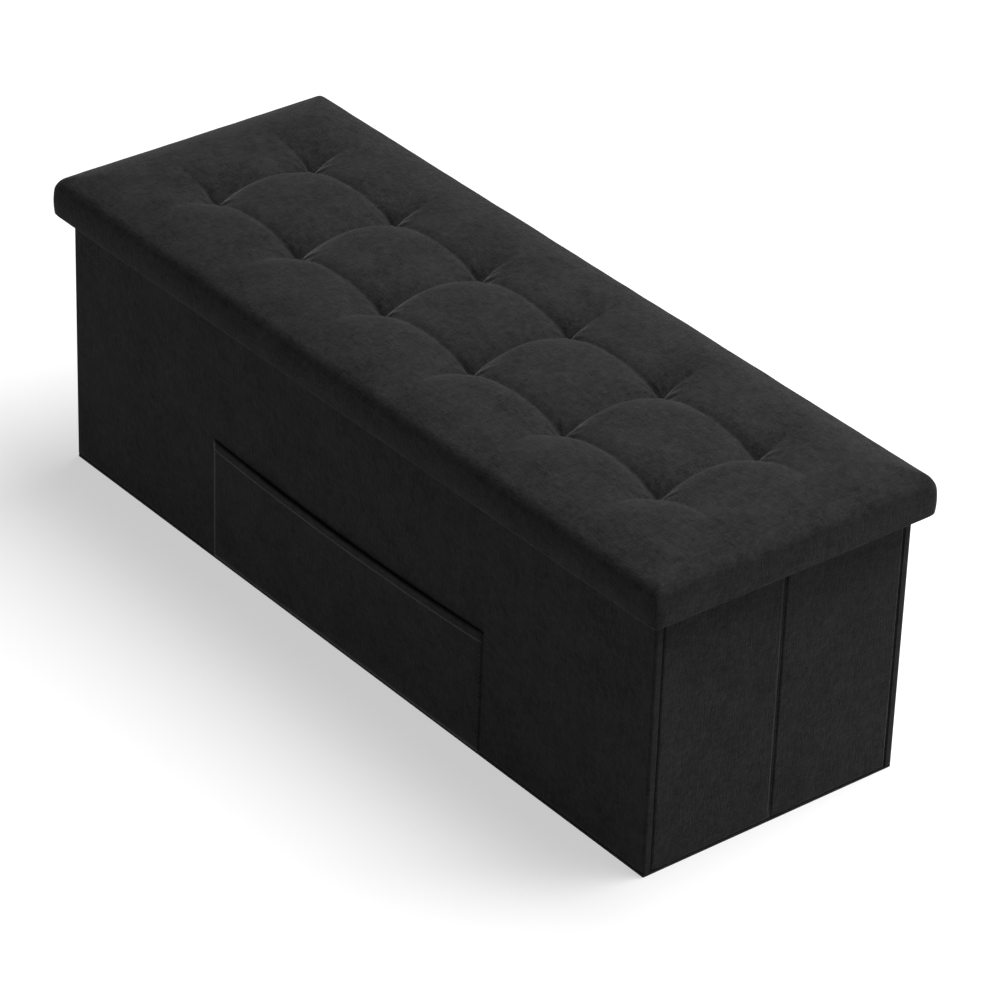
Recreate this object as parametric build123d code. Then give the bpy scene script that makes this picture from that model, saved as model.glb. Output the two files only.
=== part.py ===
from build123d import *

import os

# Folding fabric-covered storage bench. Millimetres, +Z up, X along the bench, the pocket faces -Y.
# The origin is at the middle of the footprint, on the floor.

# Overall sizes
LID_LENGTH = 1100.0
LID_DEPTH = 392.0
WALL_TOP = 328.0  # height of the box walls above the floor
LID_OVERHANG = 18.0  # lid past the box on all four sides

# Layers of a wall, from the inside out
LINING = 0.8
BOARD = 6.0
WADDING = 2.0
COVER = 1.2
WALL = LINING + BOARD + WADDING + COVER
EDGE_ROUND = 2.4  # wrapped outer edges of a wall

# Layers of the base, from the floor up
BASE_WRAP = 0.8
BASE_BOARD = 1.9
BASE_SETBACK = 1.0  # base edge inside the box's outer faces
BASE_LINING_INSET = 14.0

# Fold
FOLD_GAP = 0.3  # each pivot stands this far off the faces that close on each other
CORNER_GAP = 1.0  # end half panel to long panel
MIDDLE_GAP = 1.5  # end half panel to the middle of the end
TAPE = LINING  # the hinge tapes lie in the lining's layer
TAPE_LEG = 16.0
GUSSET = 0.8
GUSSET_DEPTH = 1.6  # fold strip below the outer face

# Lid
LID_GAP = 0.3  # lid's underside above the wall tops
LID_BOARD = 10.0
LID_CORNER = 14.0  # corner radius in plan
LID_SIDE = 44.0  # straight side band
LID_CROWN = 16.0  # pillows above the side band
LID_TOP_ROUND = 12.0
LINING_SETBACK = 2.0  # lid lining inside the box's outer faces
STAPLE_LAYER = 0.6

# Tufts
TUFT_COLUMNS = 6
TUFT_ROWS = 2
TUFT_PITCH_X = 159.6
TUFT_PITCH_Y = 137.4
DIMPLE_DEPTH = 20.0
DIMPLE_MOUTH = 30.0
DIMPLE_FLOOR = 3.0
THREAD = 0.75
THREAD_CLEAR = 0.25
STITCH = 2.2
STITCH_HEIGHT = 1.0
ANCHOR = 10.0
ANCHOR_HEIGHT = 1.0
KNOT_HEIGHT = 0.6

# Staples under the lid
STAPLE_CROWN = 10.0
STAPLE_WIDTH = 0.8
STAPLE_LEG = 6.0
STAPLE_COVERED = 8.0  # staples inside the lid lining's edge
TURN_PAST_STAPLES = 8.0  # cover folded under the lid's board, past the staples
STAPLE_PITCH = 78.0

# Lid hinge tape
LID_TAPE_LAP = 13.0
LID_TAPE_DROP = 28.0

# Pocket
POCKET_WIDTH = 500.0
POCKET_TOP = 162.0  # above the floor
POCKET_ROOM = 5.8  # clear depth behind the pocket's front
POCKET_CLOTH = 1.2
HEM_HEIGHT = 14.0
HEM_CLOTH = 0.8

# Places worked out from the sizes above
BOX_X = LID_LENGTH / 2 - LID_OVERHANG
BOX_Y = LID_DEPTH / 2 - LID_OVERHANG
BASE_TOP = BASE_WRAP + BASE_BOARD + LINING
WALL_FOOT = BASE_TOP + FOLD_GAP
LID_BOTTOM = WALL_TOP + LID_GAP
LINING_INSET = LID_OVERHANG + LINING_SETBACK
STAPLE_INSET = LINING_INSET + STAPLE_COVERED
TURN_UNDER = STAPLE_INSET + TURN_PAST_STAPLES
TURN_BOTTOM = LID_BOTTOM + LINING + STAPLE_LAYER
LID_BOARD_BOTTOM = TURN_BOTTOM + COVER
LID_BOARD_TOP = LID_BOARD_BOTTOM + LID_BOARD
LID_TOP = LID_BOTTOM + LID_SIDE + LID_CROWN
SLOPE = (DIMPLE_MOUTH - DIMPLE_FLOOR) / DIMPLE_DEPTH
DIMPLE_DROP = COVER * (1 + SLOPE**2) ** 0.5 / SLOPE


def block(low, high):
    """A box between two corners."""
    size = [b - a for a, b in zip(low, high)]
    middle = [(a + b) / 2 for a, b in zip(low, high)]
    return Pos(*middle) * Box(*size)


def rounded_plate(length, depth, radius, bottom, top):
    """A plate centred on the origin with rounded corners in plan."""
    return Pos(0, 0, bottom) * extrude(RectangleRounded(length, depth, radius), top - bottom)


def lid_plate(inset, bottom, top):
    """A plate with the lid's outline moved in by inset."""
    radius = max(LID_CORNER - inset, 1.0)
    return rounded_plate(LID_LENGTH - 2 * inset, LID_DEPTH - 2 * inset, radius, bottom, top)


def tuft_places():
    """Centres of the tufts in plan."""
    first_x = -TUFT_PITCH_X * (TUFT_COLUMNS - 1) / 2
    first_y = -TUFT_PITCH_Y * (TUFT_ROWS - 1) / 2
    for row in range(TUFT_ROWS):
        for column in range(TUFT_COLUMNS):
            yield first_x + column * TUFT_PITCH_X, first_y + row * TUFT_PITCH_Y


def posts(radius, bottom, top):
    """One upright cylinder on each tuft."""
    height = top - bottom
    return [Pos(x, y, bottom + height / 2) * Cylinder(radius, height) for x, y in tuft_places()]


# Walls. A panel is drawn along u, with its inner face at n = 0 and n outwards, and then placed.


def panel_layers(u0, u1, foot, lining_in0, lining_in1):
    """Board, wadding, cover and lining of one panel from u0 to u1.

    lining_in0 and lining_in1 are how far the lining stops short of each end."""
    inner = (u0 + COVER, foot + COVER), (u1 - COVER, WALL_TOP - COVER)
    (ua, za), (ub, zb) = inner
    board_out = LINING + BOARD
    wadding_out = board_out + WADDING
    board = block((ua, LINING, za), (ub, board_out, zb))
    wadding = block((ua, board_out, za), (ub, wadding_out, zb))
    wrap = block((u0, LINING, foot), (u1, WALL, WALL_TOP))
    outer_edges = wrap.edges().filter_by(Axis.Z).sort_by(Axis.Y)[-2:]
    wrap = fillet(outer_edges, EDGE_ROUND)
    cover = wrap - block((ua, 0, za), (ub, wadding_out, zb))
    lining = block((u0 + lining_in0, 0, foot + COVER), (u1 - lining_in1, LINING, WALL_TOP - COVER))
    return {"board": board, "wadding": wadding, "cover": cover, "lining": lining}


def placed(layers, name, place):
    """The layers of a panel, named and moved to their place."""
    return {f"{name}_{layer}": place * solid for layer, solid in layers.items()}


def long_panel(name, foot, place):
    """Front or back panel, the full length of the box."""
    lining_end = WALL + TAPE_LEG
    return placed(panel_layers(-BOX_X, BOX_X, foot, lining_end, lining_end), name, place)


def end_half_panel(name, corner_at_u1, place):
    """Half an end, from beside the middle fold to beside the long panel."""
    near, far = MIDDLE_GAP, BOX_Y - WALL - CORNER_GAP
    tape_end = TAPE_LEG - CORNER_GAP
    if corner_at_u1:
        layers = panel_layers(near, far, WALL_FOOT, COVER, tape_end)
    else:
        layers = panel_layers(-far, -near, WALL_FOOT, tape_end, COVER)
    return placed(layers, name, place)


def walls():
    """The back, the front and the four end halves."""
    inner_y = BOX_Y - WALL
    inner_x = BOX_X - WALL
    back = Pos(0, inner_y, 0)
    front = Pos(0, -inner_y, 0) * Rot(0, 0, 180)
    right = Pos(inner_x, 0, 0) * Rot(0, 0, -90)
    left = Pos(-inner_x, 0, 0) * Rot(0, 0, 90)
    return {
        **long_panel("back", BASE_TOP, back),
        **long_panel("front", WALL_FOOT, front),
        **end_half_panel("right_rear", False, right),
        **end_half_panel("right_front", True, right),
        **end_half_panel("left_rear", True, left),
        **end_half_panel("left_front", False, left),
    }


# Hinges made of cloth


def corner_tape(side_x, side_y):
    """Tape round the inside of a corner, in the layer of the linings."""
    inner_x, inner_y = BOX_X - WALL, BOX_Y - WALL
    foot, top = WALL_FOOT + COVER, WALL_TOP - COVER
    on_long = block((inner_x - TAPE_LEG, inner_y, foot), (inner_x + TAPE, inner_y + TAPE, top))
    on_end = block((inner_x, inner_y - TAPE_LEG, foot), (inner_x + TAPE, inner_y + TAPE, top))
    tape = on_long + on_end
    if side_x < 0:
        tape = tape.mirror(Plane.YZ)
    if side_y < 0:
        tape = tape.mirror(Plane.XZ)
    return tape


def fold_gusset(side_x):
    """Narrow strip of cloth at the bottom of an end's middle groove."""
    out = BOX_X - GUSSET_DEPTH
    strip = block((out - GUSSET, -MIDDLE_GAP, WALL_FOOT), (out, MIDDLE_GAP, WALL_TOP))
    return strip if side_x > 0 else strip.mirror(Plane.YZ)


def lid_hinge_tape():
    """Tape from the back's outer face to the lid's underside, all along the box."""
    half = BOX_X - LID_CORNER
    drop = WALL_TOP - LID_TAPE_DROP
    on_back = block((-half, BOX_Y, drop), (half, BOX_Y + TAPE, TURN_BOTTOM))
    on_lid = block((-half, BOX_Y, TURN_BOTTOM - TAPE), (half, BOX_Y + LID_TAPE_LAP, TURN_BOTTOM))
    return on_back + on_lid


def tapes():
    """Every cloth hinge."""
    return {
        "right_rear_corner_tape": corner_tape(1, 1),
        "right_front_corner_tape": corner_tape(1, -1),
        "left_rear_corner_tape": corner_tape(-1, 1),
        "left_front_corner_tape": corner_tape(-1, -1),
        "right_fold_gusset": fold_gusset(1),
        "left_fold_gusset": fold_gusset(-1),
        "lid_hinge_tape": lid_hinge_tape(),
    }


# Base


def base():
    """Base board in its cloth wrap, with a lining on top."""
    x, y = BOX_X - BASE_SETBACK, BOX_Y - BASE_SETBACK
    board_top = BASE_WRAP + BASE_BOARD
    board = block((BASE_WRAP - x, BASE_WRAP - y, BASE_WRAP), (x - BASE_WRAP, y - BASE_WRAP, board_top))
    around = block((-x, -y, 0), (x, y, BASE_TOP))
    window = BASE_LINING_INSET
    inside = block((window - x, window - y, 0), (x - window, y - window, BASE_TOP))
    floor_cloth = block((-x, -y, 0), (x, y, BASE_WRAP))
    wrap = around - (inside - floor_cloth) - board
    lining = block((window - x, window - y, board_top), (x - window, y - window, BASE_TOP))
    return {"base_board": board, "base_wrap": wrap, "base_lining": lining}


# Pocket


def pocket():
    """Patch pocket on the front, open at the top, and its hem."""
    half = POCKET_WIDTH / 2
    face = -BOX_Y
    out = face - POCKET_ROOM - POCKET_CLOTH
    bag = block((-half, out, WALL_FOOT), (half, face, POCKET_TOP))
    room = block(
        (POCKET_CLOTH - half, face - POCKET_ROOM, WALL_FOOT + POCKET_CLOTH),
        (half - POCKET_CLOTH, face, POCKET_TOP),
    )
    hem = block((-half, out - HEM_CLOTH, POCKET_TOP - HEM_HEIGHT), (half, out, POCKET_TOP))
    return {"front_pocket": bag - room, "pocket_hem": hem}


# Lid


def lid_body(inset, bottom):
    """The padded lid's shape, moved in by inset, with a dimple at each tuft."""
    top = LID_TOP - inset
    body = lid_plate(inset, bottom, top)
    rim = body.faces().sort_by(Axis.Z)[-1].edges()
    body = fillet(rim, LID_TOP_ROUND - inset)
    drop = DIMPLE_DROP if inset else 0.0
    mouth = LID_TOP + COVER - drop
    floor = LID_TOP - DIMPLE_DEPTH - drop
    height = mouth - floor
    wide = DIMPLE_FLOOR + SLOPE * height
    dimple = Cone(DIMPLE_FLOOR, wide, height)
    return body - [Pos(x, y, floor + height / 2) * dimple for x, y in tuft_places()]


def staple_places():
    """Place of each staple in plan, and whether its crown runs along Y."""
    reach_x = LID_LENGTH / 2 - STAPLE_INSET
    reach_y = LID_DEPTH / 2 - STAPLE_INSET
    along = int((2 * reach_x - 2 * LID_CORNER) // STAPLE_PITCH)
    across = int((2 * reach_y - 2 * LID_CORNER) // STAPLE_PITCH)
    for i in range(along + 1):
        for side in (-1, 1):
            yield (i - along / 2) * STAPLE_PITCH, side * reach_y, False
    for i in range(across + 1):
        for side in (-1, 1):
            yield side * reach_x, (i - across / 2) * STAPLE_PITCH, True


def staple():
    """One staple, legs up, its crown just under the turned-in cover."""
    half, thin = STAPLE_CROWN / 2, STAPLE_WIDTH / 2
    low, high = TURN_BOTTOM - STAPLE_LAYER, TURN_BOTTOM + COVER + STAPLE_LEG
    crown = block((-half, -thin, low), (half, thin, TURN_BOTTOM))
    leg = block((half - STAPLE_WIDTH, -thin, low), (half, thin, high))
    return crown + leg + leg.mirror(Plane.YZ)


def lid():
    """Every piece of the lid, from its lining up to the tuft stitches."""
    one_staple = staple()
    staples = [
        Pos(x, y, 0) * Rot(0, 0, 90 if turned else 0) * one_staple for x, y, turned in staple_places()
    ]
    stitch_bottom = LID_TOP - DIMPLE_DEPTH
    anchor_bottom = LID_BOARD_BOTTOM - ANCHOR_HEIGHT
    knot_bottom = anchor_bottom - KNOT_HEIGHT
    thread_hole = THREAD + THREAD_CLEAR

    board = lid_plate(COVER, LID_BOARD_BOTTOM, LID_BOARD_TOP)
    board = board - posts(thread_hole, LID_BOARD_BOTTOM - 1, LID_BOARD_TOP + 1) - staples
    foam = lid_body(COVER, LID_BOARD_TOP) - posts(thread_hole, LID_BOARD_TOP - 1, LID_TOP)
    cover = lid_body(0, TURN_BOTTOM) - lid_body(COVER, LID_BOARD_BOTTOM)
    cover = cover - lid_plate(TURN_UNDER, TURN_BOTTOM - 1, LID_BOARD_BOTTOM + 1)
    cover = cover - posts(thread_hole, LID_BOARD_TOP, LID_TOP) - staples
    threads = [
        thread + knot + stitch
        for thread, knot, stitch in zip(
            posts(THREAD, knot_bottom, stitch_bottom + STITCH_HEIGHT),
            posts(STITCH, knot_bottom, anchor_bottom),
            posts(STITCH, stitch_bottom, stitch_bottom + STITCH_HEIGHT),
        )
    ]
    discs = posts(ANCHOR, anchor_bottom, LID_BOARD_BOTTOM)
    holes = posts(thread_hole, anchor_bottom - 1, LID_BOARD_BOTTOM + 1)
    anchors = [disc - hole for disc, hole in zip(discs, holes)]
    return {
        "lid_board": board,
        "lid_foam": foam,
        "lid_cover": cover,
        "lid_lining": lid_plate(LINING_INSET, LID_BOTTOM, LID_BOTTOM + LINING),
        "lid_staples": Compound(children=staples),
        "tuft_threads": Compound(children=threads),
        "tuft_anchors": Compound(children=anchors),
    }


def main():
    os.makedirs("parts", exist_ok=True)
    nodes = {**walls(), **tapes(), **base(), **pocket(), **lid()}
    for name, solid in nodes.items():
        export_step(solid, f"parts/{name}.step")
    print(len(nodes), "nodes, fold pivots at", BOX_X - WALL - FOLD_GAP, BOX_Y - WALL - FOLD_GAP)


main()
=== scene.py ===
"""Looks of a folding storage bench: tufted lid, fabric-covered walls, patch pocket and cloth hinges."""

import logging
import math
from collections.abc import Iterable, Sequence
from dataclasses import dataclass, field
from enum import Enum

import bmesh
import bpy
import numpy as np
from mathutils import Matrix, Vector, noise


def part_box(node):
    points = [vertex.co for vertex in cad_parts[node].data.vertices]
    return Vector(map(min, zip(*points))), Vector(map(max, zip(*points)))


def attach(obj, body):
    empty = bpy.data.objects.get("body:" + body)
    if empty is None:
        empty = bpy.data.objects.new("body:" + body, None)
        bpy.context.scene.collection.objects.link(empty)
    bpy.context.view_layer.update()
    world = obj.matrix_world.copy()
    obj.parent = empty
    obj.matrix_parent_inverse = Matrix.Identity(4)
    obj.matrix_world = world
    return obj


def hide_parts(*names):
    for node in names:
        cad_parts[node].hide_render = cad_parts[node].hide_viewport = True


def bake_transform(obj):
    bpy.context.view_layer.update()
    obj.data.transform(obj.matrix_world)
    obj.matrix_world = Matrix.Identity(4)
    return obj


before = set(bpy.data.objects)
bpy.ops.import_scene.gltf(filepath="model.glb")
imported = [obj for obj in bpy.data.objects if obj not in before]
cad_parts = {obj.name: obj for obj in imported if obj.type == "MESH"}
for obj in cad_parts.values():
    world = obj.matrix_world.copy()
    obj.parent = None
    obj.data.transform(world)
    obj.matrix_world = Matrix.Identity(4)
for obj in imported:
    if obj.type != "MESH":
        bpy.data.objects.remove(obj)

LOG = logging.getLogger("bench")
MM = 0.001
SHARP = math.radians(50)
LONG_STITCH = 6 * MM
STITCH_SINK = 0.2 * MM
LEAST_FLAT = 10 * MM
STRIP_SLACK = 1.1


# --------------------------------------------------------------------------------------------------
# Shader building
# --------------------------------------------------------------------------------------------------


class Signal:
    """One output socket of a shader node, usable in Python arithmetic."""

    def __init__(self, dye: "Dye", socket: bpy.types.NodeSocket) -> None:
        """Keeps the socket and the material it belongs to."""
        self.dye = dye
        self.socket = socket

    def maths(self, operation: str, *values: "Signal | float", clamp: bool = False) -> "Signal":
        """Adds a Math node.

        Args:
            operation: the Math node's operation.
            values: its inputs in order, signals or numbers.
            clamp: whether the result stays between 0 and 1.
        Returns:
            The node's result.
        """
        settings = {"operation": operation, "use_clamp": clamp}
        return self.dye.node("ShaderNodeMath", settings, dict(enumerate(values)))

    def __add__(self, other: "Signal | float") -> "Signal":
        """self + other."""
        return self.maths("ADD", self, other)

    def __radd__(self, other: float) -> "Signal":
        """other + self."""
        return self.maths("ADD", other, self)

    def __sub__(self, other: "Signal | float") -> "Signal":
        """self - other."""
        return self.maths("SUBTRACT", self, other)

    def __rsub__(self, other: float) -> "Signal":
        """other - self."""
        return self.maths("SUBTRACT", other, self)

    def __mul__(self, other: "Signal | float") -> "Signal":
        """self * other."""
        return self.maths("MULTIPLY", self, other)

    def __rmul__(self, other: float) -> "Signal":
        """other * self."""
        return self.maths("MULTIPLY", other, self)

    def clamped(self) -> "Signal":
        """self kept between 0 and 1."""
        return self.maths("ADD", self, 0.0, clamp=True)


class Dye:
    """Builds the nodes of one material."""

    def __init__(self, name: str) -> None:
        """Makes an empty node material of that name.

        Args:
            name: its name.
        """
        self.material = bpy.data.materials.new(name)
        self.material.use_nodes = True
        self.tree = self.material.node_tree
        self.tree.nodes.clear()

    def node(
        self, kind: str, settings: dict | None = None, inputs: dict | None = None, out: int | str = 0
    ) -> Signal:
        """Adds one node.

        Args:
            kind: the node's type.
            settings: its properties, set before its sockets.
            inputs: a value or a Signal for each socket, by index or name.
            out: the output to return.
        Returns:
            The chosen output.
        """
        made = self.tree.nodes.new(kind)
        for key, value in (settings or {}).items():
            setattr(made, key, value)
        for key, value in (inputs or {}).items():
            if isinstance(value, Signal):
                self.tree.links.new(value.socket, made.inputs[key])
            else:
                made.inputs[key].default_value = value
        return Signal(self, made.outputs[out])

    def place(self) -> Signal:
        """The surface point in the bench's own frame, in metres."""
        return self.node("ShaderNodeTexCoord", out="Object")

    def stretched(self, scale: tuple[float, float, float]) -> Signal:
        """The surface point with each axis scaled."""
        return self.node("ShaderNodeMapping", None, {"Vector": self.place(), "Scale": scale})

    def speckle(self, scale: tuple[float, float, float], detail: float = 2.0, rough: float = 0.5) -> Signal:
        """Noise with so many cells per metre along each axis, from 0 to 1.

        Args:
            scale: cells per metre along each axis.
            detail: layers of finer noise.
            rough: strength of the finer layers.
        Returns:
            The noise.
        """
        return self.node("ShaderNodeTexNoise", None, {
            "Vector": self.stretched(scale), "Scale": 1.0, "Detail": detail, "Roughness": rough,
        })

    def blend(self, factor: Signal, low: tuple, high: tuple) -> Signal:
        """A colour between low and high."""
        ends = {0: factor, 6: (*low, 1.0), 7: (*high, 1.0)}
        return self.node("ShaderNodeMix", {"data_type": "RGBA"}, ends, 2)

    def bump(self, height: Signal, strength: float, depth: float) -> Signal:
        """A normal raised by height, depth metres at a height of 1."""
        return self.node("ShaderNodeBump", None, {"Height": height, "Strength": strength, "Distance": depth})

    def finish(self, fixed: dict, **varying: Signal) -> bpy.types.Material:
        """Closes the material with a Principled shader.

        Args:
            fixed: constants on the shader's own sockets.
            varying: signals, with underscores for the spaces of the socket's name.
        Returns:
            The material.
        """
        links = {key.replace("_", " "): value for key, value in varying.items()}
        shader = self.node("ShaderNodeBsdfPrincipled", None, {**fixed, **links})
        self.node_output(shader)
        return self.material

    def node_output(self, shader: Signal) -> None:
        """Links a shader to the material's output."""
        output = self.tree.nodes.new("ShaderNodeOutputMaterial")
        self.tree.links.new(shader.socket, output.inputs["Surface"])


# --------------------------------------------------------------------------------------------------
# Finishes
# --------------------------------------------------------------------------------------------------


@dataclass(frozen=True)
class BrushedFabric:
    """Short brushed pile over a fine weave, clouded where the pile lies another way."""

    name: str = "brushed_fabric"
    dark: tuple = (0.0008, 0.0008, 0.0008)
    light: tuple = (0.0158, 0.0158, 0.0159)
    sheen: float = 0.15

    def material(self) -> bpy.types.Material:
        """The material.

        Returns:
            The node material.
        """
        dye = Dye(self.name)
        clouds = dye.speckle((24, 24, 24), 3.0, 0.6)
        patches = dye.speckle((120, 120, 120), 3.0, 0.65)
        along = dye.speckle((75, 480, 480), 2.0, 0.6)
        across = dye.speckle((480, 75, 480), 2.0, 0.6)
        upright = dye.speckle((480, 480, 75), 2.0, 0.6)
        pile = dye.speckle((1100, 1100, 1100), 2.0, 0.6)
        slub = (along + across + upright) * (1 / 3)
        shade = 0.7 * clouds + 0.9 * patches + 2.0 * slub + 0.7 * pile - 1.65
        height = 0.5 * pile + 1.6 * slub + 0.8 * patches
        return dye.finish(
            {
                "Roughness": 0.92, "Specular IOR Level": 0.12,
                "Sheen Weight": self.sheen, "Sheen Roughness": 0.33, "Sheen Tint": (0.9, 0.9, 0.92, 1.0),
            },
            Base_Color=dye.blend(shade.clamped(), self.dark, self.light),
            Normal=dye.bump(height, 0.7, 0.0009),
        )


@dataclass(frozen=True)
class NonWoven:
    """Thin pressed cloth with a small embossed grid."""

    name: str
    dark: tuple = (0.012, 0.012, 0.013)
    light: tuple = (0.030, 0.030, 0.032)
    pitch: float = 1.6 * MM

    def material(self) -> bpy.types.Material:
        """The material.

        Returns:
            The node material.
        """
        dye = Dye(self.name)
        turn = 2 * math.pi / self.pitch
        axes = dye.node("ShaderNodeSeparateXYZ", None, {0: dye.place()})
        waves = [Signal(dye, axes.socket.node.outputs[i]) * turn for i in range(3)]
        rows = [wave.maths("SINE", wave) for wave in waves]
        dots = rows[0] + rows[1] + rows[2]
        fibre = dye.speckle((1800, 1800, 1800), 3.0, 0.6)
        clouds = dye.speckle((40, 40, 40), 3.0)
        shade = 0.5 * fibre + 0.4 * clouds + 0.08 * dots
        return dye.finish(
            {"Roughness": 0.85, "Specular IOR Level": 0.25, "Sheen Weight": 0.08},
            Base_Color=dye.blend(shade.clamped(), self.dark, self.light),
            Normal=dye.bump(0.3 * dots + 0.4 * fibre, 0.5, 0.0003),
        )


@dataclass(frozen=True)
class Grain:
    """A plain stuff with a speckle of its own: board, felt, foam, twine, plastic or wire."""

    name: str
    dark: tuple
    light: tuple
    cells: tuple[float, float, float]
    roughness: float
    metallic: float = 0.0
    relief: float = 0.0002

    def material(self) -> bpy.types.Material:
        """The material.

        Returns:
            The node material.
        """
        dye = Dye(self.name)
        coarse = dye.speckle(tuple(0.08 * c for c in self.cells), 3.0)
        fine = dye.speckle(self.cells, 3.0, 0.6)
        shade = 0.45 * coarse + 0.55 * fine
        return dye.finish(
            {"Metallic": self.metallic, "Specular IOR Level": 0.3},
            Base_Color=dye.blend(shade.clamped(), self.dark, self.light),
            Roughness=(self.roughness - 0.1 + 0.2 * fine).clamped(),
            Normal=dye.bump(fine, 0.5, self.relief),
        )


class Finish(Enum):
    """The bench's finishes, each with the record's slot that it belongs to."""

    COVER = ("cover_fabric", BrushedFabric())
    LINING = ("lining_fabric", NonWoven("lining_cloth"))
    TAPE = (
        "hinge_tape",
        NonWoven("hinge_tape_cloth", (0.008, 0.008, 0.009), (0.022, 0.022, 0.023), 1.0 * MM),
    )
    WADDING = (
        "wadding",
        Grain("felt_wadding", (0.66, 0.66, 0.63), (0.86, 0.86, 0.84), (900, 900, 900), 0.95),
    )
    FOAM = (
        "foam",
        Grain("open_foam", (0.62, 0.58, 0.44), (0.84, 0.80, 0.66), (1500, 1500, 1500), 0.95),
    )
    BOARD = (
        "fibreboard",
        Grain("fibreboard", (0.27, 0.17, 0.09), (0.50, 0.36, 0.22), (500, 500, 1400), 0.8),
    )
    TWINE = (
        "tuft_thread",
        Grain("waxed_twine", (0.006, 0.006, 0.007), (0.03, 0.03, 0.032), (3000, 3000, 900), 0.7),
    )
    PLASTIC = (
        "anchor_plastic",
        Grain("moulded_disc", (0.02, 0.02, 0.02), (0.05, 0.05, 0.05), (300, 300, 300), 0.45),
    )
    WIRE = (
        "staple_wire",
        Grain("staple_wire", (0.5, 0.5, 0.5), (0.68, 0.68, 0.7), (900, 900, 900), 0.35, 1.0),
    )

    @property
    def slot(self) -> str:
        """The record's material slot."""
        return self.value[0]


class Wardrobe:
    """Makes each finish once and hands it out."""

    def __init__(self) -> None:
        """Starts with no materials made."""
        self.made: dict[Finish, bpy.types.Material] = {}

    def get(self, finish: Finish) -> bpy.types.Material:
        """The finish's material.

        Args:
            finish: the finish wanted.
        Returns:
            The material, made on first use.
        """
        if finish not in self.made:
            self.made[finish] = finish.value[1].material()
        return self.made[finish]

    def dress(self, piece: bpy.types.Object, finish: Finish) -> bpy.types.Object:
        """Gives a new piece its finish."""
        piece.data.materials.append(self.get(finish))
        return piece

    def dress_node(self, node: str, finish: Finish) -> None:
        """Gives a kept CAD node a finish.

        Args:
            node: the kept solid's name.
            finish: its finish.
        """
        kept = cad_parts[node]
        for slot in kept.material_slots:
            slot.material = self.get(finish)
        LOG.info("kept %s with %s", node, finish.name.lower())


# --------------------------------------------------------------------------------------------------
# Mesh helpers
# --------------------------------------------------------------------------------------------------


def piece_from(bm: bmesh.types.BMesh, name: str, smooth: bool = True) -> bpy.types.Object:
    """Turns a bmesh into a named object at the origin and frees it.

    Args:
        bm: the open bmesh.
        name: its name.
        smooth: whether its faces shade smoothly.
    Returns:
        The object.
    """
    mesh = bpy.data.meshes.new(name)
    bm.to_mesh(mesh)
    bm.free()
    mesh.polygons.foreach_set("use_smooth", [smooth] * len(mesh.polygons))
    piece = bpy.data.objects.new(name, mesh)
    bpy.context.scene.collection.objects.link(piece)
    return piece


def points_of(mesh: bpy.types.Mesh) -> np.ndarray:
    """A mesh's vertex places as an n by 3 array.

    Args:
        mesh: the mesh.
    Returns:
        One row for each point.
    """
    flat = np.empty(len(mesh.vertices) * 3)
    mesh.vertices.foreach_get("co", flat)
    return flat.reshape(-1, 3)


def normals_of(mesh: bpy.types.Mesh) -> np.ndarray:
    """A mesh's vertex normals as an n by 3 array.

    Args:
        mesh: the mesh.
    Returns:
        One row for each point.
    """
    flat = np.empty(len(mesh.vertices) * 3)
    mesh.vertex_normals.foreach_get("vector", flat)
    return flat.reshape(-1, 3)


def set_points(mesh: bpy.types.Mesh, points: np.ndarray) -> None:
    """Moves a mesh's vertices."""
    mesh.vertices.foreach_set("co", points.ravel())
    mesh.update()


def flatten_shading(piece: bpy.types.Object) -> None:
    """Keeps wide faces flat in the shading beside their rounded edges."""
    weighted = piece.modifiers.new("weighted_normals", "WEIGHTED_NORMAL")
    weighted.mode, weighted.weight, weighted.keep_sharp = "FACE_AREA", 60, True


def add_subdivision(piece: bpy.types.Object, levels: int) -> None:
    """Adds a Subdivision Surface modifier with the same level in view and render."""
    subdivision = piece.modifiers.new("subdivision", "SUBSURF")
    subdivision.levels = subdivision.render_levels = levels


def ripple(point: Vector, wave: float, seed: float) -> float:
    """Smooth noise of that wavelength, from about -1 to 1."""
    return noise.noise(Vector(point) / wave + Vector((seed, 1.7 * seed, 2.3 * seed)))


def grid_cut(bm: bmesh.types.BMesh, axis: int, cell: float) -> None:
    """Cuts every long edge along one axis into cells of about that size.

    Args:
        bm: the open bmesh.
        axis: the axis, 0 to 2.
        cell: size of a cell.
    """
    along = [e for e in bm.edges if abs((e.verts[1].co - e.verts[0].co).normalized()[axis]) > 0.999
             and e.calc_length() > 2 * cell]
    if along:
        cuts = max(1, round(max(e.calc_length() for e in along) / cell) - 1)
        bmesh.ops.subdivide_edges(bm, edges=along, cuts=cuts, use_grid_fill=True)


def soft_box(low: Vector, high: Vector, round_by: float, cell: float, out: Vector) -> bmesh.types.BMesh:
    """A box with the edges of one face rounded, cut into cells.

    Args:
        low: lowest corner.
        high: highest corner.
        round_by: radius of the rounding.
        cell: size of the cells.
        out: the way that the rounded face looks.
    Returns:
        The open bmesh.
    """
    bm = bmesh.new()
    stretch = Matrix.Diagonal((*(high - low), 1))
    bmesh.ops.create_cube(bm, size=1.0, matrix=Matrix.Translation((low + high) / 2) @ stretch)
    level = max(out.dot(low), out.dot(high))
    outer = [edge for edge in bm.edges if all(level - out.dot(vert.co) < 0.1 * MM for vert in edge.verts)]
    bmesh.ops.bevel(bm, geom=outer, offset=round_by, segments=4, profile=0.5, affect="EDGES", material=-1)
    for axis in range(3):
        grid_cut(bm, axis, cell)
    for edge in bm.edges:
        edge.smooth = len(edge.link_faces) != 2 or edge.calc_face_angle() < SHARP
    return bm


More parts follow.
